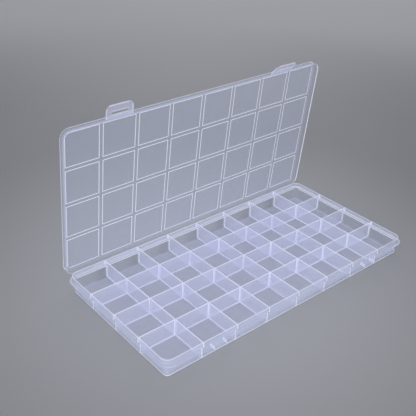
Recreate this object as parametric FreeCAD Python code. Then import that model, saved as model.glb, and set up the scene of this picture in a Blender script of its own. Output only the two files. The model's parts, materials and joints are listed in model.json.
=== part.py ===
"""Flat compartment box: a tray of equal cells, a lid on film hinges and two latch flaps."""
import FreeCAD
import Part
import os

# Main sizes, over the flange of the tray
box_length = 299.6
box_depth = 151.2

# Grid of compartments
columns = 8
rows = 4
divider_thickness = 1.2
divider_height = 17.0
divider_edge_round = 0.4

# Tray
floor_thickness = 1.2
tray_wall = 1.2
rim_corner_radius = 6.5
rim_edge_round = 0.4
ledge_drop = 4.8
ledge_inset = 2.0
flange_thickness = 1.6
flange_reach = 2.2
flange_edge_round = 0.5
base_corner_radius = 4.0
base_edge_round = 0.9
floor_fillet = 2.5

# Lid
lid_wall = 1.2
lid_sheet = 1.2
lid_edge_round = 1.0
lid_side_clearance = 0.2
lid_seat_gap = 0.05
lid_divider_gap = 0.2
lid_open_angle = 83.7
pad_rise = 1.0
pad_margin = 1.2
pad_riser = 1.2
pad_corner_radius = 2.2
pad_outer_corner_radius = 6.0

# Film hinges, with the distance from the end of the flange to their middle
film_thickness = 0.4
film_bend_radius = 0.5
hinge_from_end = 53.3
hinge_length = 47.0
hinge_axis_out = 0.3

# Latch flaps, placed like the hinges, with their angle towards the catch from the plane of the lid
latch_from_end = 55.4
latch_width = 26.8
latch_length = 11.8
latch_thickness = 1.2
latch_corner_radius = 5.0
latch_root_taper = 0.8
latch_axis_back = 0.2
latch_axis_rise = 0.4
latch_rest_angle = {"left": 3.0, "right": 38.0}
latch_shut_angle = 90.0
slot_length = 17.0
slot_near = 2.7
slot_far = 5.4
slot_corner_radius = 1.0

# Catches
catch_width = 13.5
catch_play = 0.35
catch_proud = 0.05
catch_nose = 0.45
catch_slope_back = 0.4

# Limits that keep roundings inside the walls they are on
round_share = 0.4
fillet_share = 0.9
smallest_radius = 0.2
tolerance = 0.001

# Places worked out from the sizes above
flange_out = tray_wall + flange_reach
flange_y = box_depth / 2
half_x = box_length / 2 - flange_out
half_y = flange_y - flange_out
pitch_x = 2 * half_x / columns
pitch_y = 2 * half_y / rows
rim_z = floor_thickness + divider_height
ledge_z = rim_z - ledge_drop
lower_wall_out = tray_wall - ledge_inset
lid_inner_out = tray_wall + lid_side_clearance
lid_outer_out = lid_inner_out + lid_wall
lid_rim_z = ledge_z + lid_seat_gap
lid_inner_z = rim_z + lid_divider_gap
lid_outer_z = lid_inner_z + lid_sheet
film_outer_radius = film_bend_radius + film_thickness
hinge_station = box_length / 2 - hinge_from_end
hinge_axis_y = flange_y + hinge_axis_out
hinge_axis_z = ledge_z
latch_station = box_length / 2 - latch_from_end
latch_axis_y = -(flange_y - latch_axis_back)
latch_axis_z = ledge_z + latch_axis_rise
sides = {"left": -1, "right": 1}

ALONG_X = FreeCAD.Vector(1, 0, 0)


def rounded_face(x_low, x_high, y_low, y_high, radii, z):
    """Level face with rounded corners; radii run anticlockwise from the corner at high x, high y."""
    corners = ((x_high, y_high, -1, -1), (x_low, y_high, 1, -1), (x_low, y_low, 1, 1), (x_high, y_low, -1, 1))
    slant = 0.5 ** 0.5
    arcs = []
    for index, (x, y, inward_x, inward_y) in enumerate(corners):
        radius = radii[index]
        centre = FreeCAD.Vector(x + inward_x * radius, y + inward_y * radius, z)
        on_x_side = centre + FreeCAD.Vector(-inward_x * radius, 0, 0)
        on_y_side = centre + FreeCAD.Vector(0, -inward_y * radius, 0)
        middle = centre + FreeCAD.Vector(-inward_x * radius * slant, -inward_y * radius * slant, 0)
        starts_on_x_side = index % 2 == 0
        start = on_x_side if starts_on_x_side else on_y_side
        end = on_y_side if starts_on_x_side else on_x_side
        arcs.append((start, middle, end))
    edges = []
    for index, (start, middle, end) in enumerate(arcs):
        if radii[index] > 0:
            edges.append(Part.Arc(start, middle, end).toShape())
        edges.append(Part.makeLine(end, arcs[(index + 1) % len(arcs)][0]))
    return Part.Face(Part.Wire(edges))


def rounded_block(reach, radius, z_low, z_high):
    """Block that stands out from the grid's outline by reach on every side."""
    x = half_x + reach
    y = half_y + reach
    face = rounded_face(-x, x, -y, y, (radius,) * 4, z_low)
    return face.extrude(FreeCAD.Vector(0, 0, z_high - z_low))


def box(x_low, x_high, y_low, y_high, z_low, z_high):
    corner = FreeCAD.Vector(x_low, y_low, z_low)
    return Part.makeBox(x_high - x_low, y_high - y_low, z_high - z_low, corner)


def edges_at(shape, z):
    """Edges that lie level at height z."""
    found = []
    for edge in shape.Edges:
        bounds = edge.BoundBox
        level = abs(bounds.ZMin - z) < tolerance and abs(bounds.ZMax - z) < tolerance
        if level:
            found.append(edge)
    return found


def tray_cavity(top):
    """Space inside the tray walls: narrow below the ledge, full width above it."""
    inner_radius = base_corner_radius - tray_wall
    lower = rounded_block(-ledge_inset, inner_radius, floor_thickness, ledge_z)
    lower = lower.makeFillet(min(floor_fillet, fillet_share * inner_radius), edges_at(lower, floor_thickness))
    upper = rounded_block(0, rim_corner_radius, ledge_z, top)
    return lower.fuse(upper)


def tray_shell():
    base = rounded_block(lower_wall_out, base_corner_radius, 0, ledge_z - flange_thickness)
    base = base.makeFillet(base_edge_round, edges_at(base, 0))
    flange_low = ledge_z - flange_thickness
    flange = rounded_block(flange_out, rim_corner_radius + flange_out, flange_low, ledge_z)
    round_off = edges_at(flange, flange_low) + edges_at(flange, ledge_z)
    flange = flange.makeFillet(min(flange_edge_round, round_share * flange_thickness), round_off)
    upper = rounded_block(tray_wall, rim_corner_radius + tray_wall, ledge_z, rim_z)
    shell = base.fuse([flange, upper]).cut(tray_cavity(rim_z + tray_wall)).removeSplitter()
    return shell.makeFillet(min(rim_edge_round, round_share * tray_wall), edges_at(shell, rim_z))


def divider_x(index):
    return (index - columns / 2) * pitch_x


def divider_y(index):
    return (index - rows / 2) * pitch_y


def round_top(plate):
    """Plate with its long top edges rounded."""
    longest = max(edge.Length for edge in plate.Edges)
    top_edges = [edge for edge in edges_at(plate, rim_z) if edge.Length > longest - tolerance]
    return plate.makeFillet(min(divider_edge_round, round_share * divider_thickness), top_edges)


def cross_divider(index, cavity):
    x = divider_x(index)
    half = divider_thickness / 2
    plate = box(x - half, x + half, -half_y - pitch_y, half_y + pitch_y, 0, rim_z)
    return round_top(plate).common(cavity).Solids[0]


def long_divider(index, cavity):
    """One divider in bays that reach from each cross divider, or the wall, to the next."""
    y = divider_y(index)
    half = divider_thickness / 2
    bays = []
    for column in range(columns):
        x_low = divider_x(column) + half if column > 0 else -half_x - pitch_x
        x_high = divider_x(column + 1) - half if column < columns - 1 else half_x + pitch_x
        plate = box(x_low, x_high, y - half, y + half, 0, rim_z)
        bays.append(round_top(plate).common(cavity).Solids[0])
    return Part.makeCompound(bays)


def catch(side):
    """Wedge under the flange, flat below where the latch bar hooks and sloped above."""
    x = sides[side] * latch_station
    wall = half_y + lower_wall_out
    nose = -latch_axis_y + film_bend_radius + latch_thickness + catch_proud
    low = latch_axis_z - slot_far + catch_play
    high = ledge_z - flange_thickness
    top = flange_y - catch_slope_back
    section = ((wall, low), (nose, low), (nose, low + catch_nose), (top, high), (wall, high))
    points = [FreeCAD.Vector(x - catch_width / 2, -out, z) for out, z in section]
    face = Part.Face(Part.makePolygon(points + points[:1]))
    return face.extrude(FreeCAD.Vector(catch_width, 0, 0))


def pad_blocks(margin, radius, outer_radius, z_low, z_high):
    """One block per cell, with the larger radius at the four corners of the lid."""
    lid_corners = ((columns - 1, rows - 1), (0, rows - 1), (0, 0), (columns - 1, 0))
    blocks = []
    for column in range(columns):
        for row in range(rows):
            x_low = divider_x(column) + margin
            x_high = divider_x(column + 1) - margin
            y_low = divider_y(row) + margin
            y_high = divider_y(row + 1) - margin
            radii = [outer_radius if corner == (column, row) else radius for corner in lid_corners]
            face = rounded_face(x_low, x_high, y_low, y_high, radii, z_low)
            blocks.append(face.extrude(FreeCAD.Vector(0, 0, z_high - z_low)))
    return blocks


def hinge_lip(side):
    """Thin edge of the lid that the hinge film grows out of."""
    x = sides[side] * hinge_station
    z = hinge_axis_z + film_bend_radius
    y_low = half_y + lid_inner_out + lid_wall / 2
    return box(x - hinge_length / 2, x + hinge_length / 2, y_low, hinge_axis_y, z, z + film_thickness)


def shut_lid():
    inner_radius = rim_corner_radius + lid_inner_out
    outer = rounded_block(lid_outer_out, inner_radius + lid_wall, lid_rim_z, lid_outer_z)
    outer = outer.makeFillet(min(lid_edge_round, fillet_share * lid_sheet), edges_at(outer, lid_outer_z))
    inner = rounded_block(lid_inner_out, inner_radius, lid_rim_z, lid_inner_z)
    raised = pad_blocks(
        pad_margin,
        pad_corner_radius,
        pad_outer_corner_radius,
        lid_inner_z,
        lid_outer_z + pad_rise,
    )
    hollow = pad_blocks(
        pad_margin + pad_riser,
        max(pad_corner_radius - pad_riser, smallest_radius),
        max(pad_outer_corner_radius - pad_riser, smallest_radius),
        lid_inner_z - lid_sheet,
        lid_inner_z + pad_rise,
    )
    lips = [hinge_lip(side) for side in sides]
    return outer.cut(inner).fuse(raised + lips).cut(hollow).removeSplitter()


def bent_film(x, length, axis_y, axis_z, root_y, start, bend):
    """Film that leaves a wall at root_y, level, then bends about the axis; start is 1 above it, -1 below."""
    x_low = x - length / 2
    x_high = x + length / 2
    y_low, y_high = sorted((root_y, axis_y))
    z_low, z_high = sorted((axis_z + start * film_bend_radius, axis_z + start * film_outer_radius))
    level = box(x_low, x_high, y_low, y_high, z_low, z_high)
    ends = ((x_low, z_low), (x_high, z_low), (x_high, z_high), (x_low, z_high))
    points = [FreeCAD.Vector(along, axis_y, z) for along, z in ends]
    face = Part.Face(Part.makePolygon(points + points[:1]))
    arc = face.revolve(FreeCAD.Vector(0, axis_y, axis_z), ALONG_X, bend)
    return level.fuse(arc).removeSplitter()


def lid_hinge_film(side):
    x = sides[side] * hinge_station
    return bent_film(x, hinge_length, hinge_axis_y, hinge_axis_z, flange_y, -1, 180 - lid_open_angle)


def shut_latch_film(side):
    x = sides[side] * latch_station
    wall_y = -(half_y + lid_outer_out)
    return bent_film(x, latch_width, latch_axis_y, latch_axis_z, wall_y, 1, latch_rest_angle[side])


def shut_latch(side):
    """Latch flap on the shut lid, turned from its hanging place back to its rest angle."""
    x = sides[side] * latch_station
    half = latch_width / 2
    inner_y = latch_axis_y - film_bend_radius
    tip_radius = min(latch_corner_radius, round_share * latch_width)
    slot_radius = min(slot_corner_radius, round_share * (slot_far - slot_near))
    outline = rounded_face(x - half, x + half, -latch_length, 0, (0, 0, tip_radius, tip_radius), 0)
    opening = rounded_face(
        x - slot_length / 2,
        x + slot_length / 2,
        -slot_far,
        -slot_near,
        (slot_radius,) * 4,
        0,
    )
    flap = outline.cut(opening).extrude(FreeCAD.Vector(0, 0, latch_thickness))
    root = [edge for edge in edges_at(flap, latch_thickness) if abs(edge.BoundBox.YMin) < tolerance]
    flap = flap.makeChamfer(min(latch_root_taper, fillet_share * latch_thickness), root)
    flap.rotate(FreeCAD.Vector(), ALONG_X, 90)
    flap.translate(FreeCAD.Vector(0, inner_y, latch_axis_z))
    swing_back = latch_rest_angle[side] - latch_shut_angle
    flap.rotate(FreeCAD.Vector(0, latch_axis_y, latch_axis_z), ALONG_X, swing_back)
    return flap


def opened(shape):
    """Shape carried by the lid, swung open to its rest angle."""
    shape.rotate(FreeCAD.Vector(0, hinge_axis_y, hinge_axis_z), ALONG_X, -lid_open_angle)
    return shape


def main():
    os.makedirs("parts", exist_ok=True)
    cavity = tray_cavity(rim_z)
    nodes = {"tray_shell": tray_shell(), "lid_shell": opened(shut_lid())}
    for index in range(1, columns):
        nodes["cross_divider_%d" % index] = cross_divider(index, cavity)
    for index in range(1, rows):
        nodes["long_divider_%d" % index] = long_divider(index, cavity)
    for side in sides:
        nodes["catch_" + side] = catch(side)
        nodes["lid_hinge_film_" + side] = lid_hinge_film(side)
        nodes["latch_" + side] = opened(shut_latch(side))
        nodes["latch_hinge_film_" + side] = opened(shut_latch_film(side))
    for name, shape in nodes.items():
        shape.exportStep("parts/%s.step" % name)
        print(name, "solids", len(shape.Solids), "valid", shape.isValid(), "volume", round(shape.Volume, 2))


main()
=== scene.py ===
import bpy
import json
import math
from mathutils import Matrix, Vector


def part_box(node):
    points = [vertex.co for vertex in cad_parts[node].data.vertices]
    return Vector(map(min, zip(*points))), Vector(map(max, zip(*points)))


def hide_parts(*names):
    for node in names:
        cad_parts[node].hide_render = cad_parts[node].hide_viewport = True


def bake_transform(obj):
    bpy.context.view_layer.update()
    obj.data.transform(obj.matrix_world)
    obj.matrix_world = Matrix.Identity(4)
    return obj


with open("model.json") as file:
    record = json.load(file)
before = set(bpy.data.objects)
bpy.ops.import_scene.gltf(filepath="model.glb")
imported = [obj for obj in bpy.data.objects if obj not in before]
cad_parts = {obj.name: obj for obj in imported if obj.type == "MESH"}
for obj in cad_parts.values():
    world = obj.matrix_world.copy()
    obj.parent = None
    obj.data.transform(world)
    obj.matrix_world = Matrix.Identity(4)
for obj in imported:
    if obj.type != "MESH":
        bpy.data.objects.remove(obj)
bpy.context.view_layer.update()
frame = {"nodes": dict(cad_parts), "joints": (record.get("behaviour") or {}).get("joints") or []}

MM = 0.001
X, Y, Z = range(3)

# The two latches and hinge films, with their sign along X
sides = {"left": -1, "right": 1}


def span(node, axis):
    """Lowest and highest coordinate of a node along an axis, in millimetres."""
    low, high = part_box(node)
    return low[axis] / MM, high[axis] / MM


def middle_and_half(node):
    """Middle and half length of a node along X, in millimetres."""
    low, high = span(node, X)
    return (low + high) / 2, (high - low) / 2


# Sizes from the frame, in millimetres
columns = 1 + sum(node.startswith("cross_divider") for node in frame["nodes"])
rows = 1 + sum(node.startswith("long_divider") for node in frame["nodes"])
half_x = span("long_divider_1", X)[1]
half_y = span("cross_divider_1", Y)[1]
pitch_x = 2 * half_x / columns
pitch_y = 2 * half_y / rows
floor_top, rim_z = span("cross_divider_1", Z)
flange_end = span("tray_shell", Y)[1]
hinge_station, hinge_half_length = middle_and_half("lid_hinge_film_right")
latch_station, latch_half_width = middle_and_half("latch_right")
catch_half_width = middle_and_half("catch_right")[1]

# Hinge of the lid, which lies level with the ledge, and how far the lid is open at rest, in degrees
joints = {joint["name"]: joint for joint in frame["joints"]}
hinge = Vector(joints["lid_hinge"]["pos_m"]) / MM
lid_open = -joints["lid_hinge"]["range_deg"][0]


def swung(point, angle):
    """A point in millimetres, turned about the hinge of the lid."""
    return hinge + Matrix.Rotation(math.radians(angle), 3, "X") @ (point - hinge)


# Hinge line of the latch flaps on the shut lid, and each flap's angle from the lid's plane at rest
latch_hinge = swung(Vector(joints["latch_left_hinge"]["pos_m"]) / MM, lid_open)
latch_shut_angle = 90.0
latch_rest = {side: latch_shut_angle - joints["latch_%s_hinge" % side]["range_deg"][1] for side in sides}

# Other sizes of the box, in millimetres
wall_thickness = 1.2
half_wall = wall_thickness / 2
ledge_z = hinge.z
ledge_width = 2.0
flange_thickness = 1.6
flange_low = ledge_z - flange_thickness
flange_middle = ledge_z - flange_thickness / 2
corner_radius = 6.5
floor_fillet = 2.5
lid_wall_out = 2.6
lid_wall_end = half_y + lid_wall_out
latch_length = 11.8
slot_half, slot_near, slot_far = 8.5, 2.7, 5.4
film_inner, film_outer = 0.5, 0.9

# Camera, as found from the photograph's perspective
camera_place = Vector((-387.3, -398.3, 392.7)) * MM
camera_direction = Vector((0.561085, 0.656144, -0.504637))
camera_roll = math.radians(1.6875)
camera_lens = 60.46
camera_sensor = 36.0
camera_nearest, camera_farthest = 0.01, 50.0


def add_camera():
    data = bpy.data.cameras.new("camera")
    data.lens = camera_lens
    data.sensor_width = camera_sensor
    data.clip_start = camera_nearest
    data.clip_end = camera_farthest
    camera = bpy.data.objects.new("camera", data)
    bpy.context.scene.collection.objects.link(camera)
    level = camera_direction.to_track_quat("-Z", "Y").to_matrix()
    turned = level @ Matrix.Rotation(camera_roll, 3, "Z")
    camera.matrix_world = Matrix.Translation(camera_place) @ turned.to_4x4()
    bpy.context.scene.camera = camera


# A level face is found within this height of its own, with this fade
face_half, face_fade = 0.15, 0.05


class Wiring:
    """Short names for the nodes that a material is wired from; a mask goes from 0 to 1."""

    def __init__(self, name):
        self.material = bpy.data.materials.new(name)
        self.material.use_nodes = True
        self.tree = self.material.node_tree
        self.tree.nodes.clear()
        self.output = self.tree.nodes.new("ShaderNodeOutputMaterial")
        self.shader = self.tree.nodes.new("ShaderNodeBsdfPrincipled")
        self.tree.links.new(self.shader.outputs["BSDF"], self.output.inputs["Surface"])

    def put(self, value, socket):
        """Wires a node's output to a socket, or sets a plain value on it."""
        if hasattr(value, "is_linked"):
            self.tree.links.new(value, socket)
        else:
            socket.default_value = value

    def math(self, operation, first, second=0.0):
        node = self.tree.nodes.new("ShaderNodeMath")
        node.operation = operation
        self.put(first, node.inputs[0])
        self.put(second, node.inputs[1])
        return node.outputs[0]

    def add(self, first, second):
        return self.math("ADD", first, second)

    def both(self, first, second):
        return self.math("MULTIPLY", first, second)

    def most(self, masks):
        result = masks[0]
        for mask in masks[1:]:
            result = self.math("MAXIMUM", result, mask)
        return result

    def inverse(self, mask):
        return self.math("SUBTRACT", 1.0, mask)

    def mix(self, mask, first, second):
        """first where the mask is 0, second where it is 1."""
        return self.add(self.both(self.inverse(mask), first), self.both(mask, second))

    def diagonal(self, first, second):
        """Length of the diagonal over two distances."""
        squares = self.add(self.both(first, first), self.both(second, second))
        return self.math("SQRT", squares)

    def short_of(self, value, limit):
        """How far value falls short of limit, 0 past it."""
        return self.math("MAXIMUM", self.math("SUBTRACT", limit, value), 0.0)

    def away(self, value, middle):
        """Distance of value from middle."""
        return self.math("ABSOLUTE", self.math("SUBTRACT", value, middle))

    def ramp(self, value, start, end):
        """0 before start, 1 after end, smooth between; start may be the larger."""
        node = self.tree.nodes.new("ShaderNodeMapRange")
        node.interpolation_type = "SMOOTHSTEP"
        self.put(value, node.inputs["Value"])
        node.inputs["From Min"].default_value = min(start, end)
        node.inputs["From Max"].default_value = max(start, end)
        node.inputs["To Min"].default_value = 0.0 if start < end else 1.0
        node.inputs["To Max"].default_value = 1.0 if start < end else 0.0
        return node.outputs["Result"]

    def between(self, value, low, high, soft):
        """1 from low to high, fading out over soft on each side."""
        rise = self.ramp(value, low - soft, low + soft)
        fall = self.ramp(value, high + soft, high - soft)
        return self.both(rise, fall)

    def before(self, value, end, line):
        """Line just before end; line holds the distances at which it is full and gone."""
        full, gone = line
        return self.ramp(value, end - gone, end - full)

    def after(self, value, start, line):
        """Line just after start; line holds the distances at which it is full and gone."""
        full, gone = line
        return self.ramp(value, start + gone, start + full)

    def at_height(self, z, height):
        """1 on a level face at this height."""
        return self.between(z, height - face_half, height + face_half, face_fade)

    def level(self, factor, low, high):
        """A number that goes from low to high with factor."""
        node = self.tree.nodes.new("ShaderNodeMapRange")
        self.put(factor, node.inputs["Value"])
        node.inputs["To Min"].default_value = low
        node.inputs["To Max"].default_value = high
        return node.outputs["Result"]

    def colour(self, factor, first, second):
        node = self.tree.nodes.new("ShaderNodeMix")
        node.data_type = "RGBA"
        self.put(factor, node.inputs["Factor"])
        self.put(first, node.inputs["A"])
        self.put(second, node.inputs["B"])
        return node.outputs["Result"]

    def places(self, turn=0.0, axis=Vector()):
        """Rest coordinates in millimetres, turned back about an axis that lies along X."""
        source = self.tree.nodes.new("ShaderNodeTexCoord")
        mapping = self.tree.nodes.new("ShaderNodeMapping")
        turned = Matrix.Rotation(math.radians(turn), 3, "X")
        mapping.inputs["Location"].default_value = axis - turned @ axis
        mapping.inputs["Rotation"].default_value = (math.radians(turn), 0, 0)
        mapping.inputs["Scale"].default_value = (1 / MM, 1 / MM, 1 / MM)
        self.tree.links.new(source.outputs["Object"], mapping.inputs["Vector"])
        split = self.tree.nodes.new("ShaderNodeSeparateXYZ")
        self.tree.links.new(mapping.outputs["Vector"], split.inputs["Vector"])
        self.vector = mapping.outputs["Vector"]
        return split.outputs["X"], split.outputs["Y"], split.outputs["Z"]

    def noise(self, size, detail):
        """Soft blotches of about size millimetres, from 0 to 1."""
        node = self.tree.nodes.new("ShaderNodeTexNoise")
        node.inputs["Scale"].default_value = 1 / size
        node.inputs["Detail"].default_value = detail
        self.tree.links.new(self.vector, node.inputs["Vector"])
        return node.outputs["Fac"]


# Colour of each plate's haze, of the painted shade on the far walls and the deeper painted shadow at the
# back wall's cell ends, and of the whiter places, where the plastic is thick and where highlights are
# painted
tray_tint = (0.72, 0.77, 0.97, 1)
far_wall_shade_tint = (0.48, 0.525, 0.69, 1)
shaded_tint = (0.27, 0.30, 0.42, 1)
divider_tint = (0.74, 0.77, 0.98, 1)
lid_tint = (0.58, 0.635, 0.84, 1)
latch_tint = (0.74, 0.77, 0.98, 1)
edge_and_highlight_tint = (0.93, 0.94, 1.0, 1)

# Haze of each plate, from 0, clear, to 1, white
front_wall_haze = 0.35
# The front wall's right end is less hazy, and so darker: painted shade
front_end_haze = 0.27
left_wall_haze = 0.30
far_wall_haze = 0.3
# Haze where the back wall takes its painted shadow
shaded_wall_haze = 0.34
flange_haze = 0.35
floor_haze = 0.39
divider_haze = 0.365
# Dividers grow hazier, and so lighter, towards the back: painted light
back_divider_haze = 0.41
lid_haze = 0.32
skirt_haze = 0.24
clear_skirt_haze = 0.1
latch_haze = 0.42
catch_haze = 0.08
film_haze = 0.25

# Haze of the whiter places
tray_edge_haze = 0.85
divider_edge_haze = 0.9
lid_edge_haze = 0.88
latch_edge_haze = 0.75
end_edge_haze = 0.8

# Plastic: size of its clouds and flow marks in millimetres, how much they change it, its gloss and its glow
cloud_size, cloud_detail = 9.0, 2.0
flow_size, flow_detail = 38.0, 3.0
thinnest_cloud, thickest_cloud = 0.94, 1.06
flow_shade = 0.95
smoothest, roughest = 0.42, 0.52
plastic_ior = 1.49
plastic_specular = 0.35
bump_strength, bump_depth = 0.06, 0.05
plate_glow, edge_glow = 0.3, 0.15

# Share of its opacity that a plate has for shadow rays
shadow_share = 0.5


def finish_plastic(wiring, clear_tint, haze, edge, edge_haze, painted_shade=None, painted_shade_tint=None):
    """Hazy, faintly glossy polypropylene, whiter by the edge mask, which holds thick edges and painted
    highlights, and of a painted shade's tint by the painted shade mask.
    """
    nodes, links = wiring.tree.nodes, wiring.tree.links
    cloudy = wiring.noise(cloud_size, cloud_detail)
    flow = wiring.noise(flow_size, flow_detail)
    flow_tint = [flow_shade * part for part in clear_tint[:3]] + [1]
    plain = wiring.colour(flow, flow_tint, clear_tint)
    if painted_shade is not None:
        plain = wiring.colour(painted_shade, plain, painted_shade_tint)
    tint = wiring.colour(edge, plain, edge_and_highlight_tint)
    shader = wiring.shader
    wiring.put(tint, shader.inputs["Base Color"])
    wiring.put(wiring.level(flow, smoothest, roughest), shader.inputs["Roughness"])
    shader.inputs["IOR"].default_value = plastic_ior
    shader.inputs["Specular IOR Level"].default_value = plastic_specular
    bump = nodes.new("ShaderNodeBump")
    bump.inputs["Strength"].default_value = bump_strength
    bump.inputs["Distance"].default_value = bump_depth * MM
    wiring.put(cloudy, bump.inputs["Height"])
    wiring.put(bump.outputs["Normal"], shader.inputs["Normal"])

    glow = nodes.new("ShaderNodeBsdfTranslucent")
    wiring.put(tint, glow.inputs["Color"])
    body = nodes.new("ShaderNodeMixShader")
    wiring.put(wiring.level(edge, plate_glow, edge_glow), body.inputs["Fac"])
    links.new(shader.outputs["BSDF"], body.inputs[1])
    links.new(glow.outputs["BSDF"], body.inputs[2])

    cloud = wiring.level(cloudy, thinnest_cloud, thickest_cloud)
    opacity = wiring.mix(edge, wiring.both(cloud, haze), edge_haze)
    path = nodes.new("ShaderNodeLightPath")
    passing = wiring.level(path.outputs["Is Shadow Ray"], 1.0, shadow_share)
    cover = nodes.new("ShaderNodeMixShader")
    links.new(wiring.both(opacity, passing), cover.inputs["Fac"])
    links.new(nodes.new("ShaderNodeBsdfTransparent").outputs["BSDF"], cover.inputs[1])
    links.new(body.outputs["Shader"], cover.inputs[2])
    links.new(cover.outputs["Shader"], wiring.output.inputs["Surface"])
    return wiring.material


def from_grid(wiring, value, pitch):
    """Distance from the nearest line of the cell grid."""
    return wiring.math("PINGPONG", wiring.math("ABSOLUTE", value), pitch / 2)


def past_line(wiring, value, pitch):
    """Distance past the nearest line of the cell grid, negative before it."""
    node = wiring.tree.nodes.new("ShaderNodeMath")
    node.operation = "WRAP"
    wiring.put(value, node.inputs[0])
    node.inputs[1].default_value = pitch / 2
    node.inputs[2].default_value = -pitch / 2
    return node.outputs[0]


def from_edge(wiring, x, y):
    """How far a point lies inside the tray's upper inner outline, which has rounded corners."""
    past_x = wiring.math("SUBTRACT", wiring.math("ABSOLUTE", x), half_x - corner_radius)
    past_y = wiring.math("SUBTRACT", wiring.math("ABSOLUTE", y), half_y - corner_radius)
    round_part = wiring.diagonal(wiring.math("MAXIMUM", past_x, 0.0), wiring.math("MAXIMUM", past_y, 0.0))
    straight_part = wiring.math("MINIMUM", wiring.math("MAXIMUM", past_x, past_y), 0.0)
    return wiring.math("SUBTRACT", corner_radius, wiring.add(round_part, straight_part))


# Bands along the tray's sides, and where the near ones end before a corner, in millimetres
side_band = (4.0, 8.0)
flange_corner = (4.0, 24.0)
wall_corner = (2.0, 4.0)

# Where the tray's skins, flange and floor begin, in millimetres inside the upper inner outline
lower_skin, upper_skin = 1.2, -half_wall
flange_start = (-1.3, -1.4)
underside_start = (0.65, 0.55)
near_floor_start = (1.4, 1.8)
far_floor_start = (1.4, ledge_width + floor_fillet / 2)

# Margins and fades of these regions in height, in millimetres
skin_step = 0.1
flange_margin = 0.2
floor_below, floor_above, floor_fade = 0.3, 0.4, 0.3
far_wall_fade = 0.4

# Where the front wall's haze falls along X, a painted shade that darkens its right end, and how far from a
# divider the back wall's painted shadow is full
front_shade_fade = (-40.0, 60.0)
shade_full = 3.0

# White lines of the tray, partly the thick plastic seen edge-on and partly painted highlight: their places
# in millimetres
rim_line = (0.3, 0.5)
ledge_face_fade = 0.15
ledge_line_up, ledge_line_down = 0.5, 0.7
ledge_line_wide, ledge_line_narrow, ledge_line_fade = 0.4, 0.2, 0.1
flange_edge_start, flange_edge_fade = (-1.6, -2.8), 0.3
junction_line = (0.5, 0.9)
junction_start = (7.0, 8.0)
base_line_low, base_line_high, base_line_fade = 0.3, 1.4, 0.2

# White lines of the tray: their strength, on the far sides and then on the near ones; the base line on the
# near sides and the ledge's lines and face on the far sides are painted highlights
rim_white = 0.5
ledge_face_highlight_white = (0.45, 0.1)
ledge_highlight_white = (1.0, 0.15)
flange_edge_white = (0.5, 0.22)
junction_white = (0.3, 0.85)
base_highlight_white = (0.1, 0.95)


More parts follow.
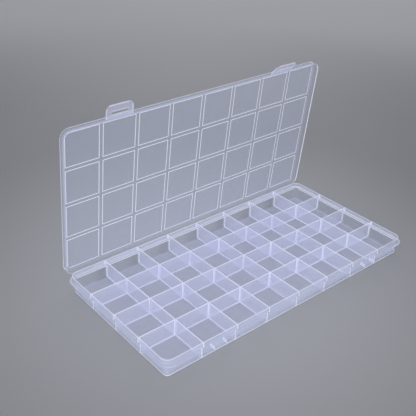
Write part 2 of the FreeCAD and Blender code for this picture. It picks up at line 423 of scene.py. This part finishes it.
class TrayWiring(Wiring):
    """Masks of the tray's regions; its near sides are the front and the left one, which face the key lamp.

    The walls' haze lies in the outer skin and the floor's in the upper one, so that each plate counts once.
    """

    def __init__(self, name):
        super().__init__(name)
        self.x, self.y, self.z = self.places()
        self.inside = from_edge(self, self.x, self.y)
        self.find_sides()
        self.find_skins()

    def near_sides(self, corner):
        """The near sides, up to a fade before the corners where they meet the far ones."""
        fade_end, fade_start = corner
        along_left = self.ramp(self.y, half_y - fade_end, half_y - fade_start)
        along_front = self.ramp(self.x, half_x - fade_end, half_x - fade_start)
        return self.most([self.both(self.left_side, along_left), self.both(self.front_side, along_front)])

    def find_sides(self):
        self.left_side = self.after(self.x, -half_x, side_band)
        self.front_side = self.after(self.y, -half_y, side_band)
        self.back_side = self.before(self.y, half_y, side_band)
        self.near_base = self.most([self.left_side, self.front_side])
        self.near_flange = self.near_sides(flange_corner)
        self.near_wall = self.near_sides(wall_corner)

    def find_skins(self):
        """Outer skin of the base, the flange, and the walls with and without the top of the far flange."""
        inward = self.short_of(self.inside, ledge_width + floor_fillet)
        downward = self.short_of(self.z, floor_top + floor_fillet)
        past_curve = self.math("GREATER_THAN", self.diagonal(inward, downward), floor_fillet + half_wall)
        at_wall = self.math("GREATER_THAN", inward, half_wall)
        at_floor = self.math("GREATER_THAN", downward, 0.0)
        self.base_skin = self.both(past_curve, self.both(at_wall, at_floor))

        above = self.ramp(self.z, flange_middle - skin_step, flange_middle)
        skin = self.level(above, lower_skin, upper_skin)
        outer = self.most([self.math("LESS_THAN", self.inside, skin), self.base_skin])
        height = self.between(self.z, flange_low - flange_margin, ledge_z + flange_margin, face_fade)
        self.flange = self.both(height, self.ramp(self.inside, *flange_start))
        underside = self.both(self.at_height(self.z, flange_low), self.ramp(self.inside, *underside_start))
        lower_half = self.math("LESS_THAN", self.z, flange_middle)
        clear_flange = self.both(self.flange, self.most([self.near_flange, lower_half]))
        self.wall = self.both(outer, self.inverse(self.most([clear_flange, underside])))
        self.plain_wall = self.both(outer, self.inverse(self.most([self.flange, underside])))

    def shade(self):
        """Painted shadow on the back wall, which grows towards the divider at the right end of each cell."""
        offset = past_line(self, self.x, pitch_x)
        left_of_line = self.math("LESS_THAN", offset, 0.0)
        cell_end = self.both(left_of_line, self.ramp(offset, -pitch_x / 2, -shade_full))
        has_divider = self.math("LESS_THAN", self.x, half_x - pitch_x)
        return self.both(self.both(cell_end, has_divider), self.back_side)

    def haze(self, shaded):
        front_haze = self.level(self.ramp(self.x, *front_shade_fade), front_wall_haze, front_end_haze)
        near_haze = self.mix(self.front_side, left_wall_haze, front_haze)
        far_haze = self.level(shaded, far_wall_haze, shaded_wall_haze)
        plain_haze = self.mix(self.near_wall, far_haze, near_haze)
        wall_haze = self.mix(self.flange, plain_haze, flange_haze)
        near_floor = self.both(self.near_base, self.ramp(self.inside, *near_floor_start))
        far_floor = self.ramp(self.inside, *far_floor_start)
        floor_skin = self.between(self.z, floor_top - floor_below, floor_top + floor_above, floor_fade)
        floor = self.both(floor_skin, self.most([near_floor, far_floor]))
        return self.add(self.both(self.wall, wall_haze), self.both(floor, floor_haze))

    # Far walls below the flange, which take a painted shade
    def far_wall_painted_shade(self):
        far_wall = self.both(self.wall, self.inverse(self.near_wall))
        return self.both(far_wall, self.ramp(self.z, flange_low, flange_low - far_wall_fade))

    def ledge_line(self, low, high, outer, inner):
        """Line between two heights and between two distances inside the upper inner outline."""
        heights = self.between(self.z, low, high, ledge_line_fade)
        return self.both(heights, self.between(self.inside, outer, inner, ledge_line_fade))

    def junctions(self):
        """Lines where the dividers meet the walls, clear of the corners."""
        from_end = self.math("SUBTRACT", half_x, self.math("ABSOLUTE", self.x))
        from_side = self.math("SUBTRACT", half_y, self.math("ABSOLUTE", self.y))
        cross = self.after(from_grid(self, self.x, pitch_x), 0.0, junction_line)
        lengthwise = self.after(from_grid(self, self.y, pitch_y), 0.0, junction_line)
        lines = self.most([
            self.both(cross, self.ramp(from_end, *junction_start)),
            self.both(lengthwise, self.ramp(from_side, *junction_start)),
        ])
        return self.both(lines, self.plain_wall)

    def edges(self):
        rim = self.before(self.z, rim_z, rim_line)
        ledge = self.between(self.inside, 0.0, ledge_width, ledge_face_fade)
        ledge_face = self.both(self.at_height(self.z, ledge_z), ledge)
        step_in, step_out = ledge_width + ledge_line_narrow, ledge_width - ledge_line_wide
        ledge_lines = self.most([
            self.ledge_line(ledge_z, ledge_z + ledge_line_up, -ledge_line_narrow, ledge_line_wide),
            self.ledge_line(ledge_z - ledge_line_down, ledge_z, step_out, step_in),
        ])
        flange_heights = self.between(self.z, flange_low, ledge_z, flange_edge_fade)
        flange_edge = self.both(flange_heights, self.ramp(self.inside, *flange_edge_start))
        # Painted highlight along the base's outer edge, strong on the near sides
        base = self.both(self.between(self.z, base_line_low, base_line_high, base_line_fade), self.base_skin)
        return self.most([
            self.both(rim, rim_white),
            self.both(ledge_face, self.level(self.near_wall, *ledge_face_highlight_white)),
            self.both(ledge_lines, self.level(self.near_wall, *ledge_highlight_white)),
            self.both(flange_edge, self.level(self.near_flange, *flange_edge_white)),
            self.both(self.junctions(), self.level(self.near_wall, *junction_white)),
            self.both(base, self.level(self.near_base, *base_highlight_white)),
        ])


def tray_material():
    tray = TrayWiring("tray_polypropylene")
    shaded = tray.shade()
    # The far walls below the flange take a painted shade, deeper where the back wall's painted shadow lies
    painted_shade = tray.far_wall_painted_shade()
    painted_shade_tint = tray.colour(shaded, far_wall_shade_tint, shaded_tint)
    return finish_plastic(tray, tray_tint, tray.haze(shaded), tray.edges(), tray_edge_haze, painted_shade, painted_shade_tint)


# White lines of the dividers, partly the thick plastic seen edge-on and partly painted highlight, such as
# the foot line, which stands for a small fillet catching the light: where each is full and gone, in
# millimetres, and its strength
top_line, top_white = (0.3, 0.6), 0.6
foot_line, foot_highlight_white = (0.55, 0.85), 0.7
crossing_line, end_line, inner_white = (0.7, 0.9), (0.5, 0.75), 0.75
edge_line = (0.6, 0.9)

# The foot line's painted highlight is weak where the near wall is seen in front of it
hidden_band, hidden_foot_highlight_white = (8.0, 11.0), 0.15

# The divider's haze lies in one of its two faces, found this far past the grid line
face_offset = 0.1


def divider_material(crosses):
    """crosses is True for a divider that runs front to back."""
    wiring = Wiring("cross_divider_polypropylene" if crosses else "long_divider_polypropylene")
    x, y, z = wiring.places()
    along, pitch, half = (y, pitch_y, half_y) if crosses else (x, pitch_x, half_x)
    across, spacing = (x, pitch_x) if crosses else (y, pitch_y)
    top = wiring.before(z, rim_z, top_line)
    behind_wall = wiring.after(along, -half, hidden_band)
    foot = wiring.after(z, floor_top, foot_line)
    crossing = 0.0 if crosses else wiring.after(from_grid(wiring, along, pitch), 0.0, crossing_line)

    above = wiring.math("GREATER_THAN", z, ledge_z)
    reach = wiring.level(above, half - ledge_width, half)
    to_wall = wiring.math("SUBTRACT", reach, wiring.math("ABSOLUTE", along))
    end = wiring.after(to_wall, 0.0, end_line)
    below = wiring.short_of(z, floor_top + floor_fillet)
    beyond = wiring.short_of(to_wall, floor_fillet)
    curve = wiring.before(wiring.diagonal(below, beyond), floor_fillet, edge_line)
    far_end = wiring.both(wiring.most([end, curve]), wiring.ramp(along, 0.0, pitch / 2))

    edge = wiring.most([
        wiring.both(top, top_white),
        wiring.both(foot, wiring.level(behind_wall, foot_highlight_white, hidden_foot_highlight_white)),
        wiring.both(wiring.most([crossing, far_end]), inner_white),
    ])
    # Hazier, and so lighter, towards the back: painted light
    plate_haze = wiring.level(wiring.ramp(y, 0.0, half_y), divider_haze, back_divider_haze)
    one_face = wiring.math("GREATER_THAN", past_line(wiring, across, spacing), face_offset)
    return finish_plastic(wiring, divider_tint, wiring.both(one_face, plate_haze), edge, divider_edge_haze)


# Inner skin of the shut lid: under this height, and inside the middle of the side wall
lid_skin_top, lid_skin_out = 19.5, -2.0

# Side wall of the lid, its clearer ends at the right and at the hinge, and the sheet's land with its pads
skirt_start = (-1.2, -1.5)
clear_end_start, clear_end_full = -1.0, 1.2
land_start = (1.0, 1.2)
riser_low, riser_high, riser_fade = 1.5, 2.3, 0.12
lid_rim_line = (0.2, 0.4)
shoulder_start = (rim_z + 0.4, rim_z + 1.0)

# Strength of the lid's white lines: the rim's rises at the right end, the shoulder's falls at clear ends
riser_white = 0.97
lid_rim_white = (0.4, 1.0)
shoulder_white = (0.8, 0.1)


def lid_material():
    """The haze lies in the inner skin, so that the sheet counts once."""
    wiring = Wiring("lid_polypropylene")
    x, y, z = wiring.places(lid_open, hinge)
    inside = from_edge(wiring, x, y)
    under = wiring.math("LESS_THAN", z, lid_skin_top)
    inner = wiring.both(under, wiring.math("GREATER_THAN", inside, lid_skin_out))
    skirt = wiring.ramp(inside, *skirt_start)
    right_end = wiring.ramp(x, half_x + clear_end_start, half_x + clear_end_full)
    hinge_end = wiring.ramp(y, half_y + clear_end_start, half_y + clear_end_full)
    clear_end = wiring.most([right_end, hinge_end])
    skirt_level = wiring.level(clear_end, skirt_haze, clear_skirt_haze)
    haze = wiring.both(inner, wiring.mix(skirt, lid_haze, skirt_level))

    to_line = wiring.math("MINIMUM", from_grid(wiring, x, pitch_x), from_grid(wiring, y, pitch_y))
    land = wiring.both(inner, wiring.ramp(inside, *land_start))
    riser = wiring.both(wiring.between(to_line, riser_low, riser_high, riser_fade), land)
    rim = wiring.both(skirt, wiring.after(z, ledge_z, lid_rim_line))
    shoulder = wiring.both(skirt, wiring.ramp(z, *shoulder_start))
    edge = wiring.most([
        wiring.both(riser, riser_white),
        wiring.both(rim, wiring.level(right_end, *lid_rim_white)),
        wiring.both(shoulder, wiring.level(clear_end, *shoulder_white)),
    ])
    return finish_plastic(wiring, lid_tint, haze, edge, lid_edge_haze)


# White lines of a latch flap: where each is full and gone, in millimetres, and their strength
root_line, root_white = (1.0, 1.6), 0.2
slot_line_width, slot_line_fade = 0.5, 0.2
slot_end_line = (0.6, 1.2)
latch_white = 0.5


def latch_material(side):
    wiring = Wiring("latch_%s_polypropylene" % side)
    x, y, z = wiring.places(lid_open, hinge)
    across = wiring.away(x, sides[side] * latch_station)
    angle = math.radians(latch_rest[side])
    out = wiring.math("SUBTRACT", latch_hinge.y, y)
    down = wiring.math("SUBTRACT", latch_hinge.z, z)
    along = wiring.add(wiring.both(out, math.cos(angle)), wiring.both(down, math.sin(angle)))
    side_edge = wiring.before(across, latch_half_width, edge_line)
    tip = wiring.before(along, latch_length, edge_line)
    root = wiring.both(wiring.after(along, 0.0, root_line), root_white)
    slot_lines = wiring.most([
        wiring.between(along, slot_near - slot_line_width, slot_near, slot_line_fade),
        wiring.between(along, slot_far, slot_far + slot_line_width, slot_line_fade),
    ])
    slot_edge = wiring.both(slot_lines, wiring.after(across, slot_half, slot_end_line))
    edge = wiring.both(wiring.most([side_edge, tip, root, slot_edge]), latch_white)
    # Two faces of this haze, one behind the other, give the haze of the flap
    haze_of_one_face = 1 - math.sqrt(1 - latch_haze)
    return finish_plastic(wiring, latch_tint, haze_of_one_face, edge, latch_edge_haze)


# Strength of the painted highlights at the white ends of a catch or a film
end_highlight_white = 0.65


def end_material(name, haze, station, half_width):
    """Catch or film: the haze of a thick spot, whiter at its two ends with painted highlights."""
    wiring = Wiring(name)
    x = wiring.places()[X]
    across = wiring.away(wiring.math("ABSOLUTE", x), station)
    ends = wiring.both(wiring.before(across, half_width, edge_line), end_highlight_white)
    return finish_plastic(wiring, latch_tint, haze, ends, end_edge_haze)


def clad(node, material):
    mesh = frame["nodes"][node].data
    mesh.materials.clear()
    mesh.materials.append(material)


def dress_nodes():
    clad("tray_shell", tray_material())
    cross = divider_material(True)
    for index in range(1, columns):
        clad("cross_divider_%d" % index, cross)
    lengthwise = divider_material(False)
    for index in range(1, rows):
        clad("long_divider_%d" % index, lengthwise)
    clad("lid_shell", lid_material())
    catch = end_material("catch_polypropylene", catch_haze, latch_station, catch_half_width)
    for side in sides:
        clad("latch_" + side, latch_material(side))
        clad("catch_" + side, catch)


# Steps along the bend of each film
hinge_film_steps = 24
latch_film_steps = 16


def film_arc(axis, start, bend, steps):
    """Pairs of an inner and an outer (y, z) point about the axis; start is 1 above it and -1 below."""
    arc = []
    for step in range(steps + 1):
        angle = math.radians(bend * step / steps)
        y, z = -start * math.sin(angle), start * math.cos(angle)
        arc.append([(axis.y + radius * y, axis.z + radius * z) for radius in (film_inner, film_outer)])
    return arc


def film_mesh(name, ends, section, place):
    """Sheet between two ends along X, over pairs of an inner and an outer (y, z) point."""
    vertices = []
    for inner, outer in section:
        for x in ends:
            vertices.append(place(x, *inner) * MM)
            vertices.append(place(x, *outer) * MM)
    # A ring holds the inner and the outer point at the first end, then those at the second
    ring = 2 * len(ends)
    last = ring * (len(section) - 1)
    faces = []
    for a in range(0, last, ring):
        b = a + ring
        faces.append((a, b, b + 2, a + 2))
        faces.append((a + 1, a + 3, b + 3, b + 1))
        faces.append((a, a + 1, b + 1, b))
        faces.append((a + 2, b + 2, b + 3, a + 3))
    faces.append((0, 2, 3, 1))
    faces.append((last, last + 1, last + 3, last + 2))
    mesh = bpy.data.meshes.new(name)
    mesh.from_pydata(vertices, [], faces)
    mesh.validate()
    return mesh


def add_film(name, material, station, half_length, root_y, arc, place):
    """Film from the wall at root_y along the arc; place is on_tray or on_open_lid."""
    inner, outer = arc[0]
    root = [(root_y, inner[1]), (root_y, outer[1])]
    mesh = film_mesh(name, (station - half_length, station + half_length), [root] + arc, place)
    mesh.materials.append(material)
    piece = bpy.data.objects.new(name, mesh)
    bpy.context.scene.collection.objects.link(piece)
    return piece


def arc_ends(arc, place):
    """Points in metres, half way through the film, where its arc starts and ends."""
    middles = [[(a + b) / 2 for a, b in zip(*pair)] for pair in (arc[0], arc[-1])]
    return [place(0, y, z) * MM for y, z in middles]


def on_tray(x, y, z):
    """A point of the tray, which is at rest as it is."""
    return Vector((x, y, z))


def on_open_lid(x, y, z):
    """A point of the shut lid, swung open to the rest angle."""
    return swung(Vector((x, y, z)), -lid_open)


def add_films():
    hinge_film = end_material("hinge_film_polypropylene", film_haze, hinge_station, hinge_half_length)
    latch_film = end_material("latch_film_polypropylene", film_haze, latch_station, latch_half_width)
    for side, sign in sides.items():
        name, station = "hinge_film_" + side, sign * hinge_station
        arc = film_arc(hinge, -1, 180 - lid_open, hinge_film_steps)
        piece = add_film(name, hinge_film, station, hinge_half_length, flange_end, arc, on_tray)
        start, end = arc_ends(arc, on_tray)
        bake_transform(piece)
        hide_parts("lid_hinge_film_" + side)

        name, station = "latch_film_" + side, sign * latch_station
        arc = film_arc(latch_hinge, 1, latch_rest[side], latch_film_steps)
        piece = add_film(name, latch_film, station, latch_half_width, -lid_wall_end, arc, on_open_lid)
        start, end = arc_ends(arc, on_open_lid)
        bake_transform(piece)
        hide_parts("latch_hinge_film_" + side)


# Ground: two painted pools of light with their middle and reach in millimetres, and the paler far end, also
# painted light
ground_dark = (0.155, 0.158, 0.167, 1)
ground_pale = (0.332, 0.338, 0.353, 1)
near_pool, near_light = (-31.0, 8.0, 377.0), 0.97
back_pool, back_light = (200.0, 342.0, 467.0), 0.37
depth_x, depth_y = 0.62, 0.78
far_start, far_light = (356.0, 905.0), 0.64
ground_blotch, ground_detail = 260.0, 1.0
ground_smoothest, ground_roughest = 0.7, 0.8
ground_specular = 0.2
ground_reach = 6.0
ground_drop = 0.0002


def light_pool(wiring, x, y, pool):
    middle_x, middle_y, reach = pool
    off = wiring.diagonal(wiring.away(x, middle_x), wiring.away(y, middle_y))
    return wiring.ramp(off, reach, 0.0)


def ground_material():
    """Grey studio ground with painted light: a pool of light round the tray, a weaker one behind it, and
    paler far back.
    """
    wiring = Wiring("floor_grey")
    x, y = wiring.places()[:2]
    near = wiring.both(light_pool(wiring, x, y, near_pool), near_light)
    back = wiring.both(light_pool(wiring, x, y, back_pool), back_light)
    depth = wiring.add(wiring.both(x, depth_x), wiring.both(y, depth_y))
    far = wiring.both(wiring.ramp(depth, *far_start), far_light)
    light = wiring.add(wiring.add(near, back), far)
    shader = wiring.shader
    wiring.put(wiring.colour(light, ground_dark, ground_pale), shader.inputs["Base Color"])
    blotches = wiring.noise(ground_blotch, ground_detail)
    wiring.put(wiring.level(blotches, ground_smoothest, ground_roughest), shader.inputs["Roughness"])
    shader.inputs["Specular IOR Level"].default_value = ground_specular
    return wiring.material


def add_ground():
    mesh = bpy.data.meshes.new("floor")
    corners = [(-1, -1), (1, -1), (1, 1), (-1, 1)]
    mesh.from_pydata([(x * ground_reach, y * ground_reach, 0) for x, y in corners], [], [(0, 1, 2, 3)])
    mesh.materials.append(ground_material())
    ground = bpy.data.objects.new("floor", mesh)
    ground.location.z = -ground_drop
    bpy.context.scene.collection.objects.link(ground)


# Studio light: the room's glow, and two soft lamps with place and size in metres and power in watts
room_colour = (0.96, 0.985, 1.06, 1)
room_strength = 0.65
key_place, key_size, key_power = (-1.0, -1.02, 0.7), (1.2, 1.0), 17.0
fill_place, fill_size, fill_power = (1.3, 1.45, 1.3), (1.9, 1.4), 18.2


def add_lamp(name, place, size, power):
    """Rectangular lamp that points at the origin."""
    data = bpy.data.lights.new(name, "AREA")
    data.shape = "RECTANGLE"
    data.size, data.size_y = size
    data.energy = power
    lamp = bpy.data.objects.new(name, data)
    lamp.location = place
    lamp.rotation_euler = (-Vector(place)).to_track_quat("-Z", "Y").to_euler()
    bpy.context.scene.collection.objects.link(lamp)


def add_light():
    world = bpy.data.worlds.new("studio")
    world.use_nodes = True
    background = world.node_tree.nodes["Background"]
    background.inputs["Color"].default_value = room_colour
    background.inputs["Strength"].default_value = room_strength
    bpy.context.scene.world = world
    add_lamp("key", key_place, key_size, key_power)
    add_lamp("fill", fill_place, fill_size, fill_power)


# A ray can cross this many clear faces, and bounce this often
clear_faces = 48
bounces = 16


def set_view():
    scene = bpy.context.scene
    scene.view_settings.view_transform = "Standard"
    scene.cycles.transparent_max_bounces = clear_faces
    scene.cycles.max_bounces = bounces
    # Guided by normals too, the denoiser wipes out thin lines behind clear plates
    scene.cycles.denoising_input_passes = "RGB_ALBEDO"


add_camera()
dress_nodes()
add_films()
add_ground()
add_light()
set_view()
